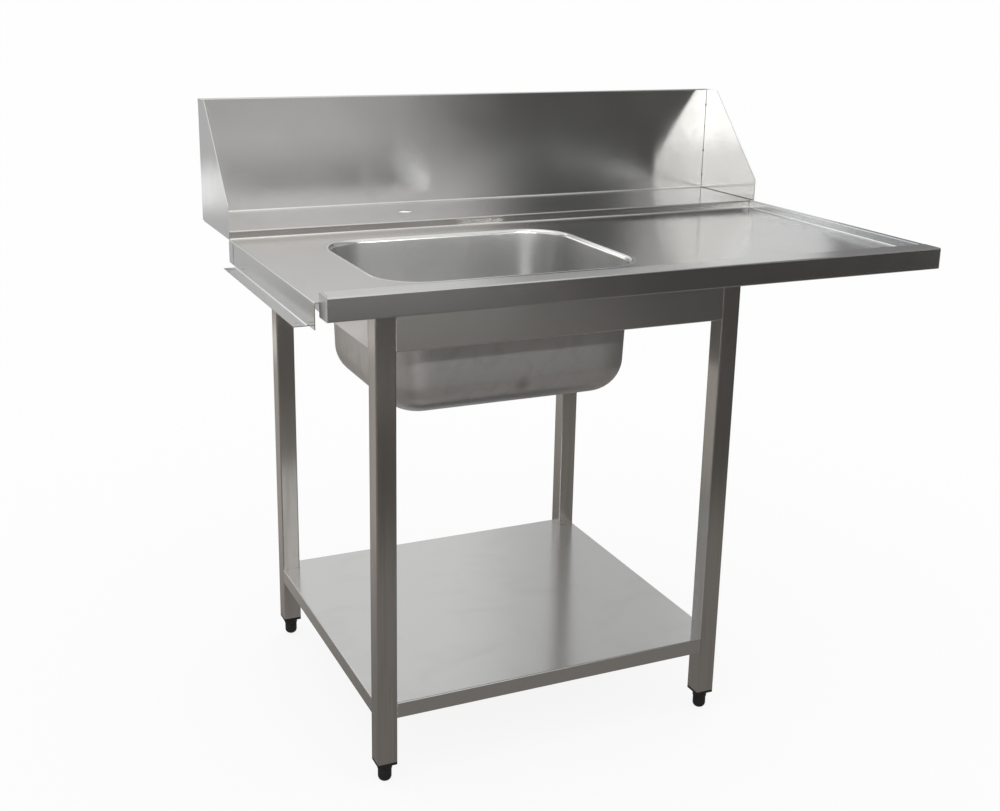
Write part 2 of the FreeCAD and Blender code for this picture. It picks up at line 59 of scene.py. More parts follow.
# Adds a node with its settings, and sets or links its inputs. A node given as an input is its first output.
def addNode(tree, kind, inputs=None, **settings):
    node = tree.nodes.new(kind)
    for name, value in settings.items():
        setattr(node, name, value)
    for key, value in (inputs or {}).items():
        if isinstance(value, bpy.types.Node):
            value = value.outputs[0]
        if isinstance(value, bpy.types.NodeSocket):
            tree.links.new(value, node.inputs[key])
        else:
            node.inputs[key].default_value = value
    return node


# A material with an empty tree. Returns both.
def startMaterial(name):
    material = bpy.data.materials.new(name)
    material.use_nodes = True
    material.node_tree.nodes.clear()
    return material, material.node_tree


# Low and high corner of a CAD node in mm
def boxOf(node):
    return [Vector(corner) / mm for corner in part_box(node)]


def middleOf(node):
    low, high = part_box(node)
    return (Vector(low) + Vector(high)) / 2


def addObject(name, data):
    added = bpy.data.objects.new(name, data)
    scene.collection.objects.link(added)
    return added


# Camera, fitted to the photograph
cameraView = {
    "place": (-1.13897, -2.24525, 1.31554),
    "yawDegrees": 24.12,
    "pitchDegrees": 16.04,
    "rollDegrees": 0.92,
    "sensorWidth": 36.0,
    "focalPixels": 1320.1,
    "centrePixel": (483.07, 364.61),
    "framePixels": (1000, 811),
}


def makeCamera(view):
    width, height = view["framePixels"]
    yaw, pitch, roll = [math.radians(view[k]) for k in ("yawDegrees", "pitchDegrees", "rollDegrees")]
    ahead = Vector((math.sin(yaw) * math.cos(pitch), math.cos(yaw) * math.cos(pitch), -math.sin(pitch)))
    side = Vector((math.cos(yaw), -math.sin(yaw), 0))
    above = side.cross(ahead)
    rolledSide = side * math.cos(roll) + above * math.sin(roll)
    rolledAbove = above * math.cos(roll) - side * math.sin(roll)
    data = bpy.data.cameras.new("tableCamera")
    data.sensor_width = view["sensorWidth"]
    data.lens = view["sensorWidth"] * view["focalPixels"] / width
    data.shift_x = (width / 2 - view["centrePixel"][0]) / width
    data.shift_y = (view["centrePixel"][1] - height / 2) / width
    camera = addObject("tableCamera", data)
    turn = Matrix((rolledSide, rolledAbove, -ahead)).transposed()
    camera.matrix_world = Matrix.Translation(Vector(view["place"])) @ turn.to_4x4()
    scene.camera = camera


print("placing the camera")
makeCamera(cameraView)


# A white studio: the camera sees white, and everything is lit from all sides at a plain level
studioValues = {"plainLevel": 0.95, "floorSize": 400.0, "floorColour": "fbfbfa", "floorGlow": 0.88}


def makeWorld(values):
    world = bpy.data.worlds.new("whiteStudio")
    scene.world = world
    world.use_nodes = True
    tree = world.node_tree
    tree.nodes.clear()
    plain = addNode(tree, "ShaderNodeBackground", {"Color": white, "Strength": values["plainLevel"]})
    bright = addNode(tree, "ShaderNodeBackground", {"Color": white})
    rays = addNode(tree, "ShaderNodeLightPath")
    seen = addNode(tree, "ShaderNodeMixShader", {0: rays.outputs["Is Camera Ray"], 1: plain, 2: bright})
    addNode(tree, "ShaderNodeOutputWorld", {"Surface": seen})


def makePanel(name, corners, finish):
    mesh = bpy.data.meshes.new(name)
    mesh.from_pydata(corners, [], [(0, 1, 2, 3)])
    mesh.materials.append(finish)
    panel = addObject(name, mesh)
    return panel


# White floor, which keeps a soft shadow
def makeFloor(values):
    half = values["floorSize"] / 2
    material, tree = startMaterial("whiteFloor")
    matt = addNode(tree, "ShaderNodeBsdfDiffuse", {"Color": linearColour(values["floorColour"])})
    glow = addNode(tree, "ShaderNodeEmission", {"Color": white})
    rays = addNode(tree, "ShaderNodeLightPath")
    amount = addNode(tree, "ShaderNodeMapRange", {
        "Value": rays.outputs["Is Camera Ray"], "To Max": values["floorGlow"]})
    seen = addNode(tree, "ShaderNodeMixShader", {0: amount, 1: matt, 2: glow})
    addNode(tree, "ShaderNodeOutputMaterial", {"Surface": seen})
    corners = [(x * half, y * half, 0) for x, y in ((-1, -1), (1, -1), (1, 1), (-1, 1))]
    makePanel("whiteFloor", corners, material).visible_glossy = False


# Long narrow lamp high in front, for the satin bowl alone. The front apron's shadow lies on the bowl.
lampValues = {"place": (-0.3, -4.2, 2.67), "aim": (-0.2, -0.27, 0.7), "length": 3.0, "width": 0.15,
              "power": 180.0}


def makeLamp(values):
    data = bpy.data.lights.new("stripLamp", "AREA")
    data.shape = "RECTANGLE"
    data.size = values["length"]
    data.size_y = values["width"]
    data.energy = values["power"]
    lamp = addObject("stripLamp", data)
    place = Vector(values["place"])
    turn = (place - Vector(values["aim"])).to_track_quat("Z", "Y")
    lamp.matrix_world = Matrix.Translation(place) @ turn.to_matrix().to_4x4()
    lamp.light_linking.receiver_collection = bpy.data.collections.new("satinPieces")
    return lamp


print("lighting the studio")
makeWorld(studioValues)
makeFloor(studioValues)
stripLamp = makeLamp(lampValues)


# Room that only the metal mirrors. A wall has a colour, one level of light, and soft cards in metres on it:
# (start, end) along the wall's first direction, (start, end) along its second, softness, level.
# A later card lies over an earlier one. The room's floor is brown, which warms the dark parts of the metal.
whole = (-9, 9)  # Past both ends of any wall
roomValues = {
    "box": ((-4.5, 5.0), (-5.0, 3.0), (0.0, 3.2)),
    "walls": {
        "front": ("fffdfb", 0.09, [
            (whole, (1.4, 2.2), 0.6, 0.12), ((-9, 2.15), whole, 0.9, 0.34), ((-9, 1.92), whole, 0.12, 0.44),
            ((-9, 1.6), whole, 0.5, 0.70), ((-9, 2.3), (1.2, 9), 1.0, 0.62),
            ((-9, 1.6), (1.2, 9), 0.5, 1.05), ((-9, 2.6), (1.85, 9), 0.6, 1.05),
            ((-9, 2.4), (2.3, 9), 0.2, 1.4), ((3.6, 9), (1.95, 2.6), 0.2, 1.5),
            ((-2.3, 0.3), (-9, 2.1), 0.5, 0.12), ((-9, 1.7), (0.75, 1.3), 0.4, 0.25),
            ((-4.3, -2.6), whole, 0.4, 3.6), ((-4.3, -2.6), (-9, 1.3), 0.4, 4.2),
            ((-4.3, -2.6), (1.95, 9), 0.12, 1.8), ((-4.3, -2.6), (0.85, 1.2), 0.15, 0.5)]),
        "back": ("ffffff", 0.62, [
            ((-9, 1.3), whole, 0.5, 0.84), ((-2.2, -0.6), (-9, 1.3), 0.4, 0.55),
            ((-2.2, -0.6), (-9, 0.1), 0.2, 0.45), ((-9, -1.9), (1.2, 9), 0.4, 0.30),
            ((-1.85, -0.6), (2.0, 9), 0.4, 1.6), ((-1.25, -1.0), (0.44, 0.6), 0.12, 1.15),
            ((2.4, 3.12), whole, 0.1, 0.78), ((3.12, 9), whole, 0.1, 0.26)]),
        "left": ("ffffff", 0.85, []),
        "right": ("ffffff", 0.45, []),
        "floor": ("fff7f0", 0.08, [
            ((-9, 1.4), whole, 0.5, 0.22), (whole, (-9, -3.0), 0.6, 0.06),
            ((-0.2, 2.0), (-2.35, -1.3), 0.5, 0.09), ((-2.4, -0.3), (0.3, 9), 1.2, 0.45),
            ((-1.65, -0.7), (2.3, 2.75), 0.25, 0.95)]),
        "ceiling": ("ffffff", 0.80, [
            ((-1.8, 0.4), (-1.2, 1.2), 0.8, 1.2), ((1.6, 9), whole, 1.0, 0.35),
            ((2.2, 9), (-9, -2.5), 0.8, 0.12)]),
    },
}


def makeRoom(values):
    spans = values["box"]
    for name, (colour, level, cards) in values["walls"].items():
        fixed, side = divmod(("left", "right", "front", "back", "floor", "ceiling").index(name), 2)
        first, second = [k for k in range(3) if k != fixed]
        corners = []
        for a, b in ((0, 0), (1, 0), (1, 1), (0, 1)):
            ends = {fixed: side, first: a, second: b}
            corners.append([spans[k][ends[k]] for k in range(3)])
        material, tree = startMaterial(name + "Wall")
        material.cycles.emission_sampling = "NONE"
        place = addNode(tree, "ShaderNodeTexCoord").outputs["Object"]
        parts = addNode(tree, "ShaderNodeSeparateXYZ", {0: place}).outputs
        for across, up, soft, bright in cards:
            share = 1.0
            for value, (start, end) in ((parts[first], across), (parts[second], up)):
                for edge, reach in ((start, soft / 2), (end, -soft / 2)):
                    share = addNode(tree, "ShaderNodeMapRange", {
                        "Value": value, "From Min": edge - reach, "From Max": edge + reach,
                        "To Max": share}, interpolation_type="SMOOTHSTEP")
            level = addNode(tree, "ShaderNodeMapRange", {"Value": share, "To Min": level, "To Max": bright})
        light = addNode(tree, "ShaderNodeEmission", {"Color": linearColour(colour), "Strength": level})
        addNode(tree, "ShaderNodeOutputMaterial", {"Surface": light})
        wall = makePanel(name + "Wall", corners, material)
        wall.visible_camera = False
        wall.visible_diffuse = False
        wall.visible_shadow = False


print("hanging the mirrored room")
makeRoom(roomValues)


# Stainless sheet and tube, which mirror the room a little blurred, more across the brush lines than along
# them. Handling leaves dull smears. Spacings, lengths and depths are in mm.
sheet = {"grain": (1, 0, 0.02), "colour": "d4d4d3", "rough": 0.15, "roughSpread": 0.02, "oneWay": 0.85,
         "lineSpacing": 1.3, "lineLength": 160, "lineDepth": 0.0003, "lineShade": 0.03, "waveSpacing": 260,
         "waveDepth": 0.15, "smearSpacing": 120, "smearLength": 120, "smearEdges": (0.46, 0.72),
         "smearRough": 0.02, "smearShade": 0.03, "stainAndShade": None}
upright, deep = (0.02, 0, 1), (0, 1, 0.02)
steelFinishes = {
    "brushedSheetLong": sheet,
    "brushedSheetUpright": {**sheet, "grain": upright, "rough": 0.12, "oneWay": 0.4, "waveSpacing": 95,
                            "waveDepth": 0.45},
    "brushedSheetDeep": {**sheet, "grain": deep, "colour": "d0d3d6"},
    # Riser, whose colour is darker than the sheets that lie flat as painted shade
    "dullRiser": {**sheet, "colour": "bfbcb8", "rough": 0.12},
    # Ledge, darkened at its right end by a soft spot of painted shade
    "dullLedge": {**sheet, "stainAndShade": ((600, 190, 865), 110, 0.45)},
    # Aprons: the flat sheet with a paler colour, which is painted light
    "apronSheet": {**sheet, "colour": "e0e0de", "rough": 0.18},
    "satinFlange": {**sheet, "grain": deep, "rough": 0.28, "oneWay": 0.4, "waveSpacing": 90},
    "brushedShelf": {**sheet, "rough": 0.20, "oneWay": 0.45, "smearSpacing": 80, "smearLength": 110,
                     "smearRough": 0.015, "smearShade": 0.04},
    # Leg tube, ground along its length with a coarser belt
    "groundTube": {**sheet, "grain": upright, "colour": "cccac7", "rough": 0.22, "oneWay": 0.6,
                   "lineSpacing": 1.0, "lineLength": 220, "lineDepth": 0.0012, "lineShade": 0.06,
                   "waveSpacing": 300, "waveDepth": 0.05, "smearSpacing": 11, "smearLength": 240,
                   "smearShade": 0.16},
    # Bowl's inside, blasted to a soft satin after the pressing
    "satinPressing": {**sheet, "rough": 0.30, "oneWay": 0.0, "lineSpacing": 3.0, "lineLength": 14,
                      "lineDepth": 0.003, "lineShade": 0.04, "waveSpacing": 60, "waveDepth": 0.10,
                      "smearSpacing": 90, "smearLength": 90, "smearShade": 0.10},
    # Hand-polished mouth and inner corners, with small facets. Their paler colour is painted highlight.
    "polishedFlare": {**sheet, "colour": "eeeeec", "rough": 0.14, "oneWay": 0.0, "lineSpacing": 2.0,
                      "lineLength": 10, "lineDepth": 0.001, "waveSpacing": 25, "waveDepth": 0.05},
    # Bowl's outside, left as the press draws it, with cloudy dull patches and one stain from the weld
    "drawnSheet": {**sheet, "rough": 0.36, "oneWay": 0.0, "lineSpacing": 3.0, "lineLength": 20,
                   "lineDepth": 0.002, "waveSpacing": 80, "waveDepth": 0.10, "smearSpacing": 30,
                   "smearLength": 30, "smearShade": 0.14, "stainAndShade": ((-180, -271, 649), 22, 0.35)},
    "turnedSteel": {**sheet, "grain": upright, "colour": "d8d8d7", "rough": 0.16, "oneWay": 0.0,
                    "lineSpacing": 0.8, "lineLength": 3, "lineDepth": 0.001, "waveSpacing": 40,
                    "waveDepth": 0.01},
    # Dark oxide that welding leaves in a joint's root, which also stands in as painted shade for the joints'
    # fine gaps
    "heatTint": {**sheet, "grain": upright, "colour": "4a4744", "rough": 0.45, "oneWay": 0.0,
                 "lineSpacing": 0.6, "lineLength": 2, "lineDepth": 0.01, "lineShade": 0.2,
                 "waveDepth": 0.01},
}
smearColour = "7d7a76"
# Colour of the soft dark spots: a real stain, and painted shade
stainAndShadeColour = "2e2b28"


def makeSteel(name, finish):
    material, tree = startMaterial(name)
    place = addNode(tree, "ShaderNodeTexCoord").outputs["Object"]

    # Scale of a pattern with one size across the grain and another along it
    def grainScale(across, along):
        return [1 / ((along if part > 0.5 else across) * mm) for part in finish["grain"]]

    # Brush lines, and slow waves of the sheet
    drawn = addNode(tree, "ShaderNodeMapping", {
        "Vector": place, "Scale": grainScale(finish["lineSpacing"], finish["lineLength"])})
    lines = addNode(tree, "ShaderNodeTexNoise", {
        "Vector": drawn, "Scale": 1.0, "Detail": 3.0, "Roughness": 0.6})
    waves = addNode(tree, "ShaderNodeTexNoise", {
        "Vector": place, "Scale": 1 / (finish["waveSpacing"] * mm), "Detail": 1.0})
    # Smears with soft edges, wiped along the grain
    wiped = addNode(tree, "ShaderNodeMapping", {
        "Vector": place, "Scale": grainScale(finish["smearSpacing"], finish["smearLength"])})
    blots = addNode(tree, "ShaderNodeTexNoise", {
        "Vector": wiped, "Scale": 1.0, "Detail": 3.0, "Distortion": 0.6})
    thin, full = finish["smearEdges"]
    smears = addNode(tree, "ShaderNodeMapRange", {
        "Value": blots, "From Min": thin, "From Max": full}, interpolation_type="SMOOTHSTEP")
    base = linearColour(finish["colour"])
    darker = tuple(c * (1 - 2 * finish["lineShade"]) for c in base[:3]) + (1,)
    brushed = addNode(tree, "ShaderNodeMix", {0: lines, 6: darker, 7: base}, data_type="RGBA").outputs[2]
    shade = addNode(tree, "ShaderNodeMapRange", {"Value": smears, "To Max": finish["smearShade"]})
    colour = addNode(tree, "ShaderNodeMix", {
        0: shade, 6: brushed, 7: linearColour(smearColour)}, data_type="RGBA").outputs[2]
    # A soft dark spot about a point: a real stain on the bowl's outside, and painted shade at the ledge's
    # right end
    if finish["stainAndShade"]:
        spot, radius, depth = finish["stainAndShade"]
        far = addNode(tree, "ShaderNodeVectorMath", {
            0: place, 1: [c * mm for c in spot]}, operation="DISTANCE").outputs["Value"]
        stainAndShade = addNode(tree, "ShaderNodeMapRange", {
            "Value": far, "From Max": radius * mm, "To Min": depth, "To Max": 0.0},
            interpolation_type="SMOOTHSTEP")
        colour = addNode(tree, "ShaderNodeMix", {
            0: stainAndShade, 6: colour, 7: linearColour(stainAndShadeColour)}, data_type="RGBA").outputs[2]
    # Lines and smears blur the mirror, and lines and waves bend it
    rough, spread = finish["rough"], finish["roughSpread"]
    fine = addNode(tree, "ShaderNodeMapRange", {
        "Value": lines, "To Min": rough - spread, "To Max": rough + spread})
    blurred = addNode(tree, "ShaderNodeMapRange", {
        "Value": smears, "To Min": fine, "To Max": rough + finish["smearRough"]})
    waved = addNode(tree, "ShaderNodeBump", {"Distance": finish["waveDepth"] * mm, "Height": waves})
    scratched = addNode(tree, "ShaderNodeBump", {
        "Distance": finish["lineDepth"] * mm, "Height": lines, "Normal": waved})
    look = {"Base Color": colour, "Metallic": 1.0, "Roughness": blurred, "Anisotropic": finish["oneWay"],
            "Normal": scratched}
    if finish["oneWay"]:
        normal = addNode(tree, "ShaderNodeNewGeometry").outputs["Normal"]
        look["Tangent"] = addNode(tree, "ShaderNodeVectorMath", {
            0: normal, 1: finish["grain"]}, operation="CROSS_PRODUCT")
    steel = addNode(tree, "ShaderNodeBsdfPrincipled", look)
    addNode(tree, "ShaderNodeOutputMaterial", {"Surface": steel})
    return material


# Moulded nylon, with a fine grain and soft highlights, and matt rubber. Spacings and depths are in mm.
dullFinishes = {
    "mouldedNylon": {"colour": "151414", "rough": 0.42, "grainSpacing": 0.8, "grainDepth": 0.02},
    "blackRubber": {"colour": "1b1a1a", "rough": 0.62, "grainSpacing": 0.6, "grainDepth": 0.03},
}
dullSpread = {"rough": 0.08, "colour": 1.5}  # How far the grain changes roughness, and colour as a factor


def makeDull(name, finish):
    material, tree = startMaterial(name)
    place = addNode(tree, "ShaderNodeTexCoord").outputs["Object"]
    speckle = addNode(tree, "ShaderNodeTexNoise", {
        "Vector": place, "Scale": 1 / (finish["grainSpacing"] * mm), "Detail": 2.0})
    base = linearColour(finish["colour"])
    paler = tuple(c * dullSpread["colour"] for c in base[:3]) + (1,)
    colour = addNode(tree, "ShaderNodeMix", {0: speckle, 6: base, 7: paler}, data_type="RGBA").outputs[2]
    rough, spread = finish["rough"], dullSpread["rough"]
    varied = addNode(tree, "ShaderNodeMapRange", {
        "Value": speckle, "To Min": rough - spread, "To Max": rough + spread})
    raised = addNode(tree, "ShaderNodeBump", {"Distance": finish["grainDepth"] * mm, "Height": speckle})
    dull = addNode(tree, "ShaderNodeBsdfPrincipled", {
        "Base Color": colour, "Roughness": varied, "Normal": raised})
    addNode(tree, "ShaderNodeOutputMaterial", {"Surface": dull})
    return material


print("mixing the finishes")
finishes = {name: makeSteel(name, values) for name, values in steelFinishes.items()}
finishes.update({name: makeDull(name, values) for name, values in dullFinishes.items()})


# A node takes the first of these finishes whose words begin its name
nodeFinishes = {
    "left_cheek": "brushedSheetUpright", "right_cheek": "brushedSheetUpright", "rear_ledge": "dullLedge",
    "coupling_flange": "satinFlange", "front_rim_": "satinFlange", "right_rim": "brushedSheetDeep",
    "apron_front": "apronSheet", "apron_rear": "apronSheet", "apron_": "brushedSheetDeep",
    "foot_": "mouldedNylon", "leg_plug_": "mouldedNylon", "leg_": "groundTube", "bowl": "satinPressing",
    "shelf_channel": "brushedSheetLong", "shelf": "brushedShelf", "waste_top_gasket": "blackRubber",
    "waste_lower_gasket": "blackRubber", "waste_stopper": "blackRubber", "waste_": "turnedSteel",
    "stopper_grip": "turnedSteel", "fixing_": "turnedSteel", "": "brushedSheetLong",
}


def finishOf(node):
    return next(finish for start, finish in nodeFinishes.items() if node.startswith(start))


for name, obj in nodes.items():
    obj.data.materials.clear()
    obj.data.materials.append(finishes[finishOf(name)])


# Turns a run of points into one with rounded corners. A point is (across, height, rounding).
def roundedRun(points, steps, closed=False):
    count = len(points)
    run = []
    for i, (u, v, rounding) in enumerate(points):
        here = Vector((u, v))
        if not rounding or (not closed and i in (0, count - 1)):
            run.append(here)
            continue
        before = (here - Vector(points[i - 1][:2])).normalized()
        after = (Vector(points[(i + 1) % count][:2]) - here).normalized()
        halfTurn = before.angle(after) / 2
        reach = rounding * math.tan(halfTurn)
        start, end = here - before * reach, here + after * reach
        centre = here + (after - before).normalized() * (rounding / math.cos(halfTurn))
        for step in range(steps + 1):
            share = step / steps
            spoke = (start - centre).lerp(end - centre, share).normalized()
            run.append(centre + spoke * rounding)
    return run


# Makes a mesh object with its place in its mesh, smooth but for its real edges
def makePiece(name, points, faces, finish, sharpDegrees=35):
    mesh = bpy.data.meshes.new(name)
    mesh.from_pydata([tuple(p) for p in points], [], faces)
    shape = bmesh.new()
    shape.from_mesh(mesh)
    bmesh.ops.remove_doubles(shape, verts=shape.verts, dist=0.002 * mm)
    bmesh.ops.recalc_face_normals(shape, faces=shape.faces)
    shape.to_mesh(mesh)
    shape.free()
    mesh.shade_smooth()
    mesh.set_sharp_from_angle(angle=math.radians(sharpDegrees))
    mesh.materials.append(finishes[finish])
    return addObject(name, mesh)


# Freezes a piece's modifiers into its mesh
def freeze(piece):
    view = bpy.context.evaluated_depsgraph_get()
    mesh = bpy.data.meshes.new_from_object(piece.evaluated_get(view), depsgraph=view)
    mesh.name = piece.name
    piece.modifiers.clear()
    piece.data = mesh
    return piece


def install(piece, body, slot, *replaced):
    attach(piece, body)
    if replaced:
        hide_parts(*replaced)


# Faces between rings of the same number of points
def ringFaces(ringCount, around, closed=False):
    faces = []
    for k in range(ringCount if closed else ringCount - 1):
        a, b = k * around, (k + 1) % ringCount * around
        for j in range(around):
            n = (j + 1) % around
            faces.append((a + j, a + n, b + n, b + j))
    return faces


# The point at an angle on a circle about an upright axis
def spun(centre, radius, turn, height):
    return (centre.x + radius * math.cos(turn), centre.y + radius * math.sin(turn), height)


# A lathe-turned piece: a closed outline of (radius, height, rounding) in mm about an upright axis in metres
def turnPiece(name, outline, centre, finish, around=96, steps=4):
    run = roundedRun(outline, steps, closed=True)
    points = [spun(centre, max(p.x, 0) * mm, 2 * math.pi * j / around, p.y * mm)
              for p in run for j in range(around)]
    return makePiece(name, points, ringFaces(len(run), around, closed=True), finish)


# Bowl, deep-drawn in one piece. Its flare ends flush in the deck, where the joint is polished.
bowlValues = {
    "sheet": 1.2, "lip": 2.0, "flareRadius": 8.0, "cornerRadius": 90.0, "footRadius": 60.0,
    "draftDegrees": 2.0, "depth": 250.0, "seatDepth": 3.0, "fall": 6.0, "seatRadius": 43.0,
    "outletRadius": 26.5, "cornerSteps": 16, "longSteps": 12, "shortSteps": 10, "wallSteps": 10,
    "bendSteps": 12, "fallSteps": 10,
}


def bowlRing(values, halfX, halfY, inset):
    corner = values["cornerRadius"] - inset

    # Point at a turn about the centre of a corner
    def spot(i, turn):
        signX, signY = ((1, -1), (1, 1), (-1, 1), (-1, -1))[i % 4]
        return Vector((signX * (halfX - inset - corner) + corner * math.cos(turn),
                       signY * (halfY - inset - corner) + corner * math.sin(turn)))

    ring = []
    for i in range(4):
        steps = values["shortSteps"] if i % 2 == 0 else values["longSteps"]
        for step in range(values["cornerSteps"] + 1):
            turn = math.radians(90 * (i - 1) + 90 * step / values["cornerSteps"])
            ring.append(spot(i, turn))
        start, end = ring[-1], spot(i + 1, turn)
        ring += [start.lerp(end, step / steps) for step in range(1, steps)]
    return ring


def makeBowl(values):
    low, high = boxOf("bowl")
    middle = (low + high) / 2
    halfX, halfY = (high.x - low.x) / 2, (high.y - low.y) / 2
    outlet = middleOf("waste_flange") / mm - middle
    top = high.z
    seat = top - values["depth"]
    dish = seat + values["seatDepth"]
    base = dish + values["fall"]
    wallInset = values["lip"] + values["flareRadius"]
    footInset = wallInset + (top - base) * math.tan(math.radians(values["draftDegrees"]))
    baseInset = footInset + values["footRadius"] * math.tan(math.radians(90 - values["draftDegrees"]) / 2)
    corners = [(0, top, 0), (wallInset, top, values["flareRadius"]), (footInset, base, values["footRadius"]),
               (baseInset, base, 0)]
    profile = roundedRun(corners, values["bendSteps"])
    flareEnd = values["bendSteps"] + 1
    wall = [profile[flareEnd].lerp(profile[flareEnd + 1], step / values["wallSteps"])
            for step in range(1, values["wallSteps"])]
    profile = profile[:flareEnd + 1] + wall + profile[flareEnd + 1:]
    rings = []
    for level in profile:
        rings.append([Vector((p.x, p.y, level.y)) for p in bowlRing(values, halfX, halfY, level.x)])
    edge = rings[-1]
    hub = Vector((outlet.x, outlet.y, 0))
    dishRadius = values["seatRadius"] + values["seatDepth"]

    def circle(radius, z):
        return [Vector(spun(hub, radius, math.atan2(p.y - hub.y, p.x - hub.x), z)) for p in edge]

    rim = circle(dishRadius, dish)
    for step in range(1, values["fallSteps"] + 1):
        share = step / values["fallSteps"]
        rings.append([a.lerp(b, share) for a, b in zip(edge, rim)])
    rings += [circle(values["seatRadius"], seat), circle(values["outletRadius"], seat)]
    points = [(middle.x + p.x, middle.y + p.y, p.z) for ring in rings for p in ring]
    points = [tuple(c * mm for c in p) for p in points]
    piece = makePiece("pressedBowl", points, ringFaces(len(rings), len(edge)), "satinPressing")
    if piece.data.polygons[0].normal.z < 0:
        piece.data.flip_normals()
    piece.data.materials.append(finishes["polishedFlare"])
    piece.data.materials.append(finishes["drawnSheet"])
    # Faces of the mouth take the polished finish, whose paler colour is painted highlight
    for face in piece.data.polygons:
        if face.center.z > (top - values["flareRadius"]) * mm:
            face.material_index = 1
    wallMaker = piece.modifiers.new("sheetThickness", "SOLIDIFY")
    wallMaker.material_offset = 2
    wallMaker.thickness = values["sheet"] * mm
    wallMaker.offset = -1
    wallMaker.use_even_offset = True
    install(freeze(piece), "table", "pressed_steel", "bowl")
    stripLamp.light_linking.receiver_collection.objects.link(piece)


print("pressing the bowl")
makeBowl(bowlValues)


# A Geometry Nodes group with named size inputs. Returns its tree, and a socket for each input.
def startTree(name, inputs):
    tree = bpy.data.node_groups.new(name, "GeometryNodeTree")
    tree.interface.new_socket("Geometry", in_out="INPUT", socket_type="NodeSocketGeometry")
    tree.interface.new_socket("Geometry", in_out="OUTPUT", socket_type="NodeSocketGeometry")
    for label, kind in inputs.items():
        tree.interface.new_socket(label, in_out="INPUT", socket_type="NodeSocket" + kind)
    entry = tree.nodes.new("NodeGroupInput")
    return tree, {socket.name: socket for socket in entry.outputs if socket.name}


def endTree(tree, shape, material):
    solid = addNode(tree, "GeometryNodeRealizeInstances", {0: shape})
    coated = addNode(tree, "GeometryNodeSetMaterial", {"Geometry": solid, "Material": material})
    addNode(tree, "NodeGroupOutput", {0: coated})


# Runs a tree on a bare mesh of points or lines, and freezes what it makes
def growPiece(name, tree, points, edges, values, sharpDegrees=35):
    mesh = bpy.data.meshes.new(name)
    mesh.from_pydata([tuple(p) for p in points], edges, [])
    piece = addObject(name, mesh)
    maker = piece.modifiers.new(name, "NODES")
    maker.node_group = tree
    for socket in tree.interface.items_tree:
        if socket.in_out == "INPUT" and socket.name in values:
            maker[socket.identifier] = values[socket.name]
    freeze(piece)
    piece.data.shade_smooth()
    piece.data.set_sharp_from_angle(angle=math.radians(sharpDegrees))
    return piece


# A screw thread at each point: a rod with a round ridge that climbs it in a helix
def makeThreadTree():
    tree, size = startTree("screwThread", {"Root Radius": "Float", "Ridge": "Float", "Pitch": "Float",
                                           "Turns": "Float", "Length": "Float", "Solid Core": "Bool",
                                           "Material": "Material"})
    rod = addNode(tree, "GeometryNodeMeshCylinder", {
        "Vertices": 32, "Radius": size["Root Radius"], "Depth": size["Length"]})
    climb = addNode(tree, "ShaderNodeMath", {0: size["Pitch"], 1: size["Turns"]}, operation="MULTIPLY")
    helix = addNode(tree, "GeometryNodeCurveSpiral", {
        "Resolution": 24, "Rotations": size["Turns"], "Start Radius": size["Root Radius"],
        "End Radius": size["Root Radius"], "Height": climb})
    steady = addNode(tree, "GeometryNodeSetCurveNormal", {"Curve": helix}, mode="Z_UP")
    ridge = addNode(tree, "GeometryNodeCurvePrimitiveCircle", {"Resolution": 4, "Radius": size["Ridge"]})
    thread = addNode(tree, "GeometryNodeCurveToMesh", {
        "Curve": steady, "Profile Curve": ridge, "Fill Caps": True})
    half = addNode(tree, "ShaderNodeMath", {0: climb, 1: -0.5}, operation="MULTIPLY")
    drop = addNode(tree, "ShaderNodeCombineXYZ", {2: half})
    centred = addNode(tree, "GeometryNodeTransform", {"Geometry": thread, "Translation": drop})
    core = addNode(tree, "GeometryNodeSwitch", {
        "Switch": size["Solid Core"], "True": rod}, input_type="GEOMETRY")
    screw = addNode(tree, "GeometryNodeJoinGeometry", {0: core})
    tree.links.new(centred.outputs[0], screw.inputs[0])
    placed = addNode(tree, "GeometryNodeInstanceOnPoints", {"Points": size["Geometry"], "Instance": screw})
    endTree(tree, placed, size["Material"])
    return tree


threadTree = makeThreadTree()


# Threads with their middles at some points, and their sizes in mm. One without a length has no core.
def growThread(name, middles, root, ridge, pitch, turns, finish, length=0.0):
    sizes = {"Root Radius": root * mm, "Ridge": ridge * mm, "Pitch": pitch * mm, "Turns": float(turns),
             "Length": length * mm, "Solid Core": length > 0, "Material": finishes[finish]}
    return growPiece(name, threadTree, middles, [], sizes)


# Screw feet: moulded nylon heads on a coarse nylon thread that runs up into the plugs
footValues = {
    "tipRadius": 5.0, "headRadius": 11.9, "taperHeight": 12.0, "shoulder": 22.7, "bulgeShare": 0.36,
    "shankRadius": 8.0, "shankLength": 38.0, "coreOverlap": 1.0, "edge": 0.8, "pitch": 2.0, "ridge": 0.75,
    "collarRadius": 12.9, "collarCore": 11.5, "collarTop": 34.9, "collarEdge": 1.0,
    "taperSteps": 10, "around": 64,
}


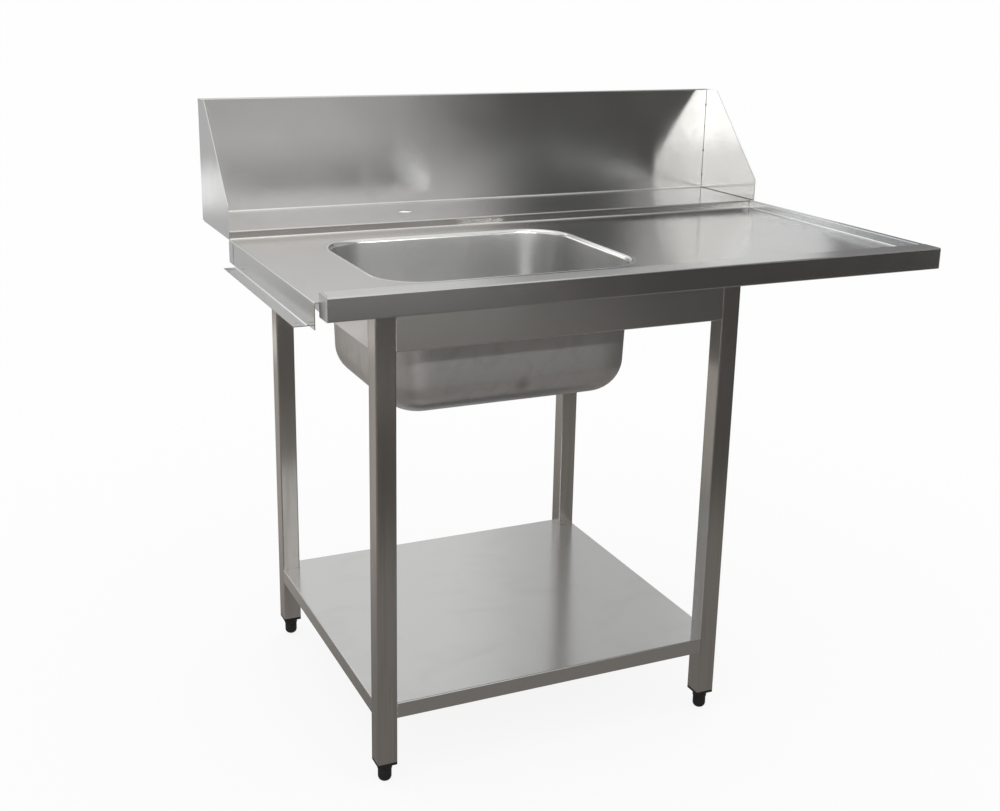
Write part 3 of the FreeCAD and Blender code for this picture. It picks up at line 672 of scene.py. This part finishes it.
def makeFeet(values):
    tip, head, height = values["tipRadius"], values["headRadius"], values["taperHeight"]
    bulge = (head - tip) * (1 - values["bulgeShare"] / 2) + tip
    control = Vector((2 * bulge - (tip + head) / 2, 2 * height * values["bulgeShare"] - height / 2))
    start, end = Vector((tip, 0)), Vector((head, height))
    taper = []
    for step in range(values["taperSteps"] + 1):
        share = step / values["taperSteps"]
        taper.append(start.lerp(control, share).lerp(control.lerp(end, share), share))
    ridge, pitch, length = values["ridge"], values["pitch"], values["shankLength"]
    root, shoulder = values["shankRadius"] - ridge, values["shoulder"]
    outline = [(0, 0, 0)] + [(min(p.x, head), p.y, 0) for p in taper]
    outline += [(head, shoulder, values["edge"]), (root, shoulder, 0),
                (root, shoulder + values["coreOverlap"], 0), (0, shoulder + values["coreOverlap"], 0)]
    bottom, top = shoulder + values["edge"], values["collarTop"]
    core, outer = values["collarCore"], values["collarRadius"]
    collar = [(core, bottom, 0), (outer, bottom, values["collarEdge"]), (outer, top, 0), (core, top, 0)]
    for node in [n for n in nodes if n.startswith("foot_")]:
        centre = middleOf(node)
        piece = turnPiece("head_" + node, outline, centre, "mouldedNylon", values["around"])
        middle = (centre.x, centre.y, (shoulder + length / 2) * mm)
        shank = growThread("shank_" + node, [middle], root, ridge, pitch, int((length - 2 * ridge) / pitch),
                           "mouldedNylon", length)
        install(piece, "screw_" + node, "black_plastic", node)
        install(shank, "screw_" + node, "black_plastic", node)
        ring = turnPiece("collar_" + node, collar, centre, "mouldedNylon", values["around"])
        install(ring, "table", "black_plastic")


print("moulding the screw feet")
makeFeet(footValues)


# Middles of the separate solids in a CAD node
def solidMiddles(node):
    shape = bmesh.new()
    shape.from_mesh(nodes[node].data)
    bmesh.ops.remove_doubles(shape, verts=shape.verts, dist=0.01 * mm)
    left = set(shape.verts)
    middles = []
    while left:
        found, edge = set(), [left.pop()]
        while edge:
            vert = edge.pop()
            found.add(vert)
            near = {e.other_vert(vert) for e in vert.link_edges} & left
            left -= near
            edge += near
        lows = Vector([min(v.co[k] for v in found) for k in range(3)])
        highs = Vector([max(v.co[k] for v in found) for k in range(3)])
        middles.append((lows + highs) / 2)
    shape.free()
    return sorted(middles, key=lambda p: tuple(p))


# Weld studs with M6 threads, and their nuts, which hold the worktop down on the aprons
fixingValues = {
    "root": 2.55, "ridge": 0.45, "pitch": 1.0, "studLength": 16.0, "turns": 14.0,
    "acrossFlats": 10.0, "nutHeight": 5.0, "chamferRadius": 4.75, "chamferDegrees": 30.0, "bore": 3.05,
    "sideSteps": 24,
}


# A hexagon nut whose corners are turned back, as real ones are
def makeNutPattern(values):
    count = values["sideSteps"]
    half, chamfer = values["nutHeight"] / 2, values["chamferRadius"]
    columns = []
    for j in range(count):
        turn = 2 * math.pi * j / count
        flat = values["acrossFlats"] / 2 / math.cos((turn + math.pi / 6) % (math.pi / 3) - math.pi / 6)
        slope = max(flat - chamfer, 0) * math.tan(math.radians(values["chamferDegrees"]))
        outline = [(values["bore"], -half), (min(flat, chamfer), -half), (flat, slope - half)]
        outline += [(r, -z) for r, z in reversed(outline)]
        columns.append([spun(Vector(), r * mm, turn, z * mm) for r, z in outline])
    points = [point for ring in zip(*columns) for point in ring]
    return makePiece("nutPattern", points, ringFaces(len(outline), count, closed=True), "turnedSteel", 20)


# A copy of a pattern object at each point
def makeRepeatTree():
    tree, size = startTree("repeatedPart", {"Part": "Object", "Material": "Material"})
    part = addNode(tree, "GeometryNodeObjectInfo", {
        "Object": size["Part"], "As Instance": True}).outputs["Geometry"]
    placed = addNode(tree, "GeometryNodeInstanceOnPoints", {"Points": size["Geometry"], "Instance": part})
    endTree(tree, placed, size["Material"])
    return tree


repeatTree = makeRepeatTree()


# Copies of a pattern piece at some points. The pattern itself is then removed.
def growCopies(name, pattern, middles, finish, sharpDegrees=35):
    piece = growPiece(name, repeatTree, middles, [],
                      {"Part": pattern, "Material": finishes[finish]}, sharpDegrees)
    bpy.data.objects.remove(pattern)
    return piece


def makeFixings(values):
    studs = growThread("weldStuds", solidMiddles("fixing_studs"), values["root"], values["ridge"],
                       values["pitch"], values["turns"], "turnedSteel", values["studLength"])
    nuts = growCopies("hexagonNuts", makeNutPattern(values), solidMiddles("fixing_nuts"), "turnedSteel", 20)
    install(studs, "table", "fixing_steel", "fixing_studs")
    install(nuts, "table", "fixing_steel", "fixing_nuts")


print("threading the studs and nuts")
makeFixings(fixingValues)


# Waste: a polished flange in the bowl, and a body with grip lugs under it and a threaded tail
wasteValues = {
    "bore": 21.0, "neckRadius": 25.0, "mouthRadius": 24.5, "mouthDepth": 8.0, "flangeRadius": 42.0,
    "flangeSheet": 2.0, "flangeBevel": 1.0, "bodyRadius": 36.4, "bodyFloor": 4.0, "bodyGap": 0.1,
    "tailLength": 24.0, "tailBore": 20.5, "tailRoot": 23.2, "threadRidge": 0.7, "threadPitch": 2.3,
    "threadTurns": 8, "lugRadius": 4.0, "lugReach": 34.0, "lugHeight": 20.0, "lugEdge": 1.0, "lugCount": 8,
}


def makeWaste(values):
    flangeLow, flangeHigh = boxOf("waste_flange")
    bodyLow, bodyHigh = boxOf("waste_body")
    centre = middleOf("waste_flange")
    top, under = flangeHigh.z, flangeHigh.z - values["flangeSheet"]
    bore, neck, rim = values["bore"], values["neckRadius"], values["flangeRadius"]
    outline = [(bore, flangeLow.z, 0.4), (neck, flangeLow.z, 0.4), (neck, under, 0), (rim, under, 0.3),
               (rim - values["flangeBevel"], top, 1.2), (values["mouthRadius"], top, 1.5),
               (bore, top - values["mouthDepth"], 3)]
    flange = turnPiece("polishedWasteFlange", outline, centre, "turnedSteel")
    install(flange, "table", "turned_steel", "waste_flange")
    tail = bodyLow.z + values["tailLength"]
    floor, inner = tail + values["bodyFloor"], neck + values["bodyGap"]
    tailBore, root, outer = values["tailBore"], values["tailRoot"], values["bodyRadius"]
    outline = [(tailBore, bodyLow.z, 0.3), (root, bodyLow.z, 0.5), (root, tail, 0.8), (outer, tail, 3),
               (outer, bodyHigh.z, 1), (inner, bodyHigh.z, 0.3), (inner, floor, 0), (tailBore, floor, 0.5)]
    install(turnPiece("wasteBody", outline, centre, "turnedSteel"), "table", "turned_steel", "waste_body")
    middle = (centre.x, centre.y, (bodyLow.z + tail) / 2 * mm)
    thread = growThread("wasteTailThread", [middle], root, values["threadRidge"], values["threadPitch"],
                        values["threadTurns"], "turnedSteel")
    install(thread, "table", "turned_steel", "waste_body")
    half, lugRadius, edge = values["lugHeight"] / 2, values["lugRadius"], values["lugEdge"]
    outline = [(0, -half, 0), (lugRadius, -half, edge), (lugRadius, half, edge), (0, half, 0)]
    lug = turnPiece("lugPattern", outline, Vector(), "turnedSteel", around=16, steps=2)
    reach, height, count = values["lugReach"] * mm, (tail + bodyHigh.z) / 2 * mm, values["lugCount"]
    places = [spun(centre, reach, 2 * math.pi * i / count, height) for i in range(count)]
    lugs = growCopies("wasteGripLugs", lug, places, "turnedSteel")
    install(lugs, "table", "turned_steel", "waste_body")


print("turning the waste")
makeWaste(wasteValues)


# Stopper: a tapered rubber plug with a ring groove on top, and a turned knob to lift it by
stopperValues = {
    "bottomRadius": 21.26, "topRadius": 24.1, "rimRadius": 28.0, "rimThickness": 3.0, "grooveRadius": 18.0,
    "grooveDepth": 0.7, "grooveHalf": 1.0, "gripRadius": 8.0, "gripSlope": 0.8, "neckRadius": 3.5,
    "neckHeight": 7.0, "footReach": 2.5, "footSlope": 0.5, "footHeight": 1.0, "footHollow": 0.6,
    "knobAround": 48,
}


def makeStopper(values):
    low, high = boxOf("waste_stopper")
    centre = middleOf("waste_stopper")
    rim, rimUnder = values["rimRadius"], high.z - values["rimThickness"]
    groove, half, bottom = values["grooveRadius"], values["grooveHalf"], high.z - values["grooveDepth"]
    outline = [(0, low.z, 0), (values["bottomRadius"], low.z, 0.8), (values["topRadius"], rimUnder, 0.3),
               (rim, rimUnder, 0.6), (rim, high.z, 1.3), (groove + 2 * half, high.z, 0.3),
               (groove + half, bottom, 0.3), (groove - half, bottom, 0.3), (groove - 2 * half, high.z, 0.3),
               (0, high.z, 0)]
    plug = turnPiece("rubberStopper", outline, centre, "blackRubber")
    install(plug, "stopper", "stopper_rubber", "waste_stopper")
    low, high = boxOf("stopper_grip")
    neck, grip, neckTop = values["neckRadius"], values["gripRadius"], low.z + values["neckHeight"]
    foot, footTop = neck + values["footReach"], low.z + values["footHeight"]
    outline = [(0, low.z, 0), (foot, low.z, 0), (foot - values["footSlope"], footTop, 0.4),
               (neck, footTop + values["footHollow"], 0.6), (neck, neckTop, 1),
               (grip, neckTop + values["gripSlope"], 1.4), (grip, high.z, 2.4), (0, high.z, 0)]
    knob = turnPiece("stopperKnob", outline, centre, "turnedSteel", values["knobAround"])
    install(knob, "stopper", "turned_steel", "stopper_grip")


print("turning the stopper")
makeStopper(stopperValues)


# Welds: short beads laid one on the next, unground where the user doesn't reach. A gap is a run's bare end.
weldValues = {"spacing": 1.2, "bead": 1.4, "uneven": 0.14, "seed": 7, "sheet": 1.2, "apronGap": 3.0,
              "shelfGap": 2.0, "braceHalf": 1.0, "braceGap": 4.0, "braceDrop": 2.0}


def makeWeldTree():
    tree, size = startTree("weldBead", {"Spacing": "Float", "Bead Radius": "Float", "Uneven": "Float",
                                        "Seed": "Int", "Material": "Material"})
    line = addNode(tree, "GeometryNodeMeshToCurve", {"Mesh": size["Geometry"]})
    spots = addNode(tree, "GeometryNodeResampleCurve", {
        "Curve": line, "Length": size["Spacing"]}, mode="LENGTH")
    bead = addNode(tree, "GeometryNodeMeshUVSphere", {
        "Segments": 8, "Rings": 5, "Radius": size["Bead Radius"]})
    least = addNode(tree, "ShaderNodeMath", {0: 1.0, 1: size["Uneven"]}, operation="SUBTRACT")
    most = addNode(tree, "ShaderNodeMath", {0: 1.0, 1: size["Uneven"]}, operation="ADD")
    vary = addNode(tree, "FunctionNodeRandomValue", {2: least, 3: most, "Seed": size["Seed"]}).outputs[1]
    laid = addNode(tree, "GeometryNodeInstanceOnPoints", {"Points": spots, "Instance": bead, "Scale": vary})
    endTree(tree, laid, size["Material"])
    return tree


weldTree = makeWeldTree()


def weldLines(name, runs, bead=weldValues["bead"], finish="groundTube"):
    points, edges = [], []
    for run in runs:
        for i, p in enumerate(run):
            points.append(tuple(c * mm for c in p))
            if i:
                edges.append((len(points) - 2, len(points) - 1))
    sizes = {"Spacing": weldValues["spacing"] * mm, "Bead Radius": bead * mm,
             "Uneven": weldValues["uneven"], "Seed": weldValues["seed"], "Material": finishes[finish]}
    install(growPiece(name, weldTree, points, edges, sizes, 60), "table", "tube_steel")


def makeWelds(values):
    wall, gap, shelfGap = values["sheet"], values["apronGap"], values["shelfGap"]
    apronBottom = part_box("apron_front")[0][2] / mm + gap
    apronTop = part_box("apron_left")[1][2] / mm - gap
    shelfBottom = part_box("shelf")[0][2] / mm
    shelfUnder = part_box("shelf")[1][2] / mm - wall
    frameWelds, shelfWelds = [], []
    for name in [n for n in nodes if n.startswith("leg_") and "plug" not in n]:
        low, high = boxOf(name)
        left, front = name.endswith("left"), "front" in name
        inX, inY = (1 if left else -1), (1 if front else -1)
        sideX, sideY = (high.x if left else low.x), (high.y if front else low.y)
        faceX = (low.x if left else high.x) + inX * wall
        faceY = (low.y if front else high.y) + inY * wall
        top = high.z - gap
        frameWelds.append([(sideX, faceY, apronBottom), (sideX, faceY, top)])
        frameWelds.append([(faceX, sideY, apronBottom), (faceX, sideY, min(top, apronTop))])
        shelfWelds.append([(faceX + inX * shelfGap, sideY, shelfUnder), (sideX, sideY, shelfUnder),
                           (sideX, faceY + inY * shelfGap, shelfUnder)])
        for x, y in ((sideX, faceY), (faceX, sideY)):
            shelfWelds.append([(x, y, shelfBottom + shelfGap), (x, y, shelfUnder - shelfGap)])
    weldLines("frameWelds", frameWelds)
    weldLines("shelfWelds", shelfWelds)
    braces = []
    for side in ("left", "right"):
        low, high = boxOf("ledge_bracket_" + side)
        web, under, gap = low.y, high.z - values["braceDrop"], values["braceGap"]
        for edge in (-1, 1):
            x = (low.x + high.x) / 2 + edge * values["braceHalf"]
            braces.append([(x, web, low.z + gap), (x, web, under - gap)])
            braces.append([(x, web + gap, under), (x, high.y - gap, under)])
    weldLines("bracketWelds", braces)


print("laying the welds")
makeWelds(weldValues)


# A straight strip with one section, along a run in mm. A face's shading stays flat up to its rounding.
def makeStrip(name, section, start, end, outA, outB, finish):
    points = []
    for base in (start, end):
        points += [(Vector(base) + Vector(outA) * p.x + Vector(outB) * p.y) * mm for p in section]
    count = len(section)
    faces = [(k, (k + 1) % count, count + (k + 1) % count, count + k) for k in range(count)]
    faces += [tuple(range(count)), tuple(range(count, 2 * count))]
    strip = makePiece(name, points, faces, finish)
    keeper = strip.modifiers.new("flatFaces", "WEIGHTED_NORMAL")
    keeper.weight = 100
    keeper.keep_sharp = True
    return freeze(strip)


# Faces of a hollow that take the polished finish with its painted highlight: their normal's share along the
# strip's second direction
hollowShares = (0.15, 0.98)


# A strip in an inner corner: a quarter hollow between two faces, polished with a paler colour as painted
# highlight, but for a dark weld root, whose darkness is oxide and painted shade of the joint's gap.
# The face along the second direction may lean.
def cornerStrip(name, start, end, outA, outB, radius, finish, lean=0.0, height=None, steps=8):
    corners = [(lean + 2 * radius, 0, 0), (lean, 0, radius), (0, height or radius, 0)]
    section = [Vector((0, 0))] + roundedRun(corners, steps)[1:]
    strip = makeStrip(name, section, start, end, outA, outB, finish)
    strip.data.materials.append(finishes["polishedFlare"])
    for face in strip.data.polygons:
        share = abs(face.normal.dot(Vector(outB)))
        if finish != "heatTint" and len(face.vertices) == 4 and hollowShares[0] < share < hollowShares[1]:
            face.material_index = 1
    install(strip, "table", "brushed_sheet")


toRight, toLeft, toBack, toFront, upward = (1, 0, 0), (-1, 0, 0), (0, 1, 0), (0, -1, 0), (0, 0, 1)


# Inner bends at the splashback's foot, around the sunk deck and on the coupling flange
bendValues = {"splashRadius": 3.0, "deckRadius": 2.5, "flangeRadius": 2.2, "flangeSheet": 1.2,
              "riserLean": 1.4, "riserRound": 2.5}


def makeInnerBends(values):
    ledgeLow, ledgeHigh = boxOf("rear_ledge")
    deckLow, deckHigh = boxOf("deck")
    flangeLow, flangeHigh = boxOf("coupling_flange")
    left, right, riserY = ledgeLow.x, ledgeHigh.x, ledgeLow.y
    ledgeTop, deckTop, flangeTop = ledgeHigh.z, deckHigh.z, flangeLow.z + values["flangeSheet"]
    rimX, frontY, splashY = boxOf("right_rim")[0].x, boxOf("front_rim")[1].y, boxOf("left_cheek")[1].y
    capX = boxOf("front_rim_left_cap")[0].x
    deck = values["deckRadius"]
    cornerStrip("splashFootBend", (left, splashY, ledgeTop), (right, splashY, ledgeTop), toFront, upward,
                values["splashRadius"], "brushedSheetLong")
    cornerStrip("riserFootBend", (left, riserY, deckTop), (right, riserY, deckTop), toFront, upward,
                deck, "dullRiser", values["riserLean"], ledgeTop - deckTop - values["riserRound"])
    cornerStrip("frontFootBend", (capX, frontY, deckTop), (rimX, frontY, deckTop), toBack, upward,
                deck, "brushedSheetLong")
    cornerStrip("rightFootBend", (rimX, frontY, deckTop), (rimX, riserY, deckTop), toLeft, upward,
                deck, "brushedSheetDeep")
    cornerStrip("flangeBend", (deckLow.x, flangeLow.y, flangeTop), (deckLow.x, flangeHigh.y, flangeTop),
                toLeft, upward, values["flangeRadius"], "polishedFlare")


print("bending the inner corners")
makeInnerBends(bendValues)


# The front rim's top falls a little to the front, as a thin wedge on it
crownValues = {"rise": 1.0, "frontBend": 3.5, "rearBend": 3.0, "endInset": 3.0, "round": 0.9, "sunk": 1.0,
               "steps": 4}


def makeRimCrown(values):
    low, high = boxOf("front_rim")
    front, rear, top = low.y + values["frontBend"], high.y - values["rearBend"], high.z
    bottom = top - values["sunk"]
    section = roundedRun([(front, top, 0), (rear, top + values["rise"], values["round"]), (rear, bottom, 0)],
                         values["steps"])
    section.append(Vector((front, bottom)))
    start, end = (low.x + values["endInset"], 0, 0), (high.x - values["endInset"], 0, 0)
    crown = makeStrip("rimCrown", section, start, end, toBack, upward, "brushedSheetLong")
    install(crown, "table", "brushed_sheet")


print("folding the front rim's top")
makeRimCrown(crownValues)


# Lap of the skirt's rear end, a thin strip folded over it
lapValues = {"length": 30.0, "thickness": 0.5, "bottomInset": 1.5, "topInset": 3.5}


def makeSkirtLap(values):
    skirtLow, skirtHigh = boxOf("deck")
    near, far = skirtHigh.y - values["length"], skirtHigh.y
    low, high = skirtLow.z + values["bottomInset"], skirtHigh.z - values["topInset"]
    face = skirtLow.x
    out = face - values["thickness"]
    section = [Vector(p) for p in ((out, low), (face, low), (face, high), (out, high))]
    lap = makeStrip("skirtLap", section, (0, near, 0), (0, far, 0), toRight, upward, "brushedSheetDeep")
    install(lap, "table", "brushed_sheet")


print("lapping the skirt's end")
makeSkirtLap(lapValues)


# Joints of the cheeks with the splashback, riser and ledge: dark unground roots, whose darkness is oxide and
# painted shade of the gaps, a few tacks, and a strip in line with each cheek that closes the end of the
# splashback's folded return
seamValues = {"rootRadius": 0.7, "footRadius": 1.0, "rimEndRadius": 1.6, "bareEnd": 1.0, "capSheet": 1.2,
              "tackBead": 1.4, "tackOffset": 0.5, "tackHalf": 0.6, "tackShares": (0.16, 0.38, 0.62, 0.87)}


def makeSeams(values):
    root, bare, wall, offset = [values[k] for k in ("rootRadius", "bareEnd", "capSheet", "tackOffset")]
    ledgeLow, ledgeHigh = boxOf("rear_ledge")
    rimLow, rimHigh = boxOf("right_rim")
    splashLow, splashHigh = boxOf("splashback")
    riserY, ledge, deckTop = ledgeLow.y, ledgeHigh.z, boxOf("deck")[1].z
    # Dark root where the right rim meets the riser: oxide and painted shade of the slit between them
    cornerStrip("rimEndRoot", (rimLow.x, riserY, deckTop), (rimLow.x, riserY, rimHigh.z - bare),
                toLeft, toFront, values["rimEndRadius"], "heatTint")
    for side, inward in (("left", toRight), ("right", toLeft)):
        low, high = boxOf(side + "_cheek")
        x = high.x if side == "left" else low.x
        cornerStrip(side + "CheekRoot", (x, high.y, ledge), (x, high.y, high.z - 2 * bare),
                    inward, toFront, root, "heatTint")
        cornerStrip(side + "RiserRoot", (x, low.y, low.z), (x, low.y, ledge - bare),
                    inward, toFront, root, "heatTint")
        cornerStrip(side + "FootRoot", (x, low.y + 2 * bare, ledge), (x, high.y, ledge),
                    inward, upward, values["footRadius"], "heatTint")
        front, back, top = high.y + wall, splashHigh.y - wall, splashHigh.z - wall
        end = splashLow.x if side == "left" else splashHigh.x - wall
        section = [Vector(p) for p in ((front, splashLow.z), (back, splashLow.z), (back, top), (front, top))]
        cap = makeStrip(side + "ReturnCap", section, (end, 0, 0), (end + wall, 0, 0), toBack, upward,
                        finishOf(side + "_cheek"))
        install(cap, "table", "brushed_sheet")
        tacks = []
        for share in values["tackShares"]:
            z = high.z - share * (high.z - ledge)
            tacks.append([(x + inward[0] * offset, high.y - offset, z + step * values["tackHalf"])
                          for step in (-1, 1)])
        weldLines(side + "CheekTacks", tacks, values["tackBead"], "heatTint")


print("marking the cheeks' joints")
makeSeams(seamValues)
